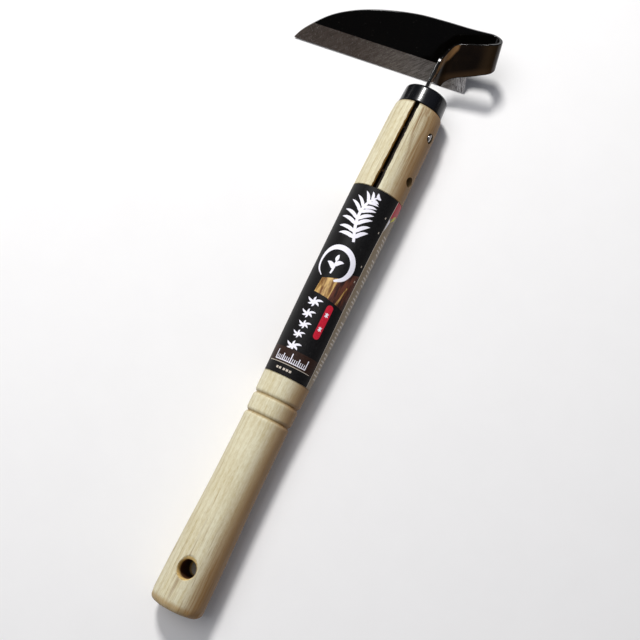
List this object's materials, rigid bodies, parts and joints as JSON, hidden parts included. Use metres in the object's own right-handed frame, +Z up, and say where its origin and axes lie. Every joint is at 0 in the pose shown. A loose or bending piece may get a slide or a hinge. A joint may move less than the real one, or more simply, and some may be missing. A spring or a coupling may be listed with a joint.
{
  "type": "hand sickle",
  "caption": "Hand weeding sickle: a flat steel blade on a folded, cranked strap, held by nails in a slotted, turned wooden handle with a ferrule and a paper label.",
  "frame": {"origin": "middle of the tool's footprint, on the surface it lies on", "axes": "+Y along the handle from the butt to the head, +Z up off the surface with the open side of the saw kerf upwards, +X from the blade's tip towards its folded end"},
  "size_m": [0.1014, 0.3212, 0.0295],
  "materials": {
    "blade_steel": "black lacquered steel sheet, ground bare along the cutting edge",
    "handle_wood": "pale turned wood, lightly sanded, unvarnished",
    "ferrule_steel": "glossy black enamel on pressed steel",
    "label_paper": "semi-gloss printed paper, mostly black",
    "nail_steel": "bright drawn steel"
  },
  "bodies": {
    "root": {"blade": "blade_steel", "handle": "handle_wood", "ferrule": "ferrule_steel", "label": "label_paper", "nail_upper": "nail_steel", "nail_lower": "nail_steel"}
  },
  "joints": []
}
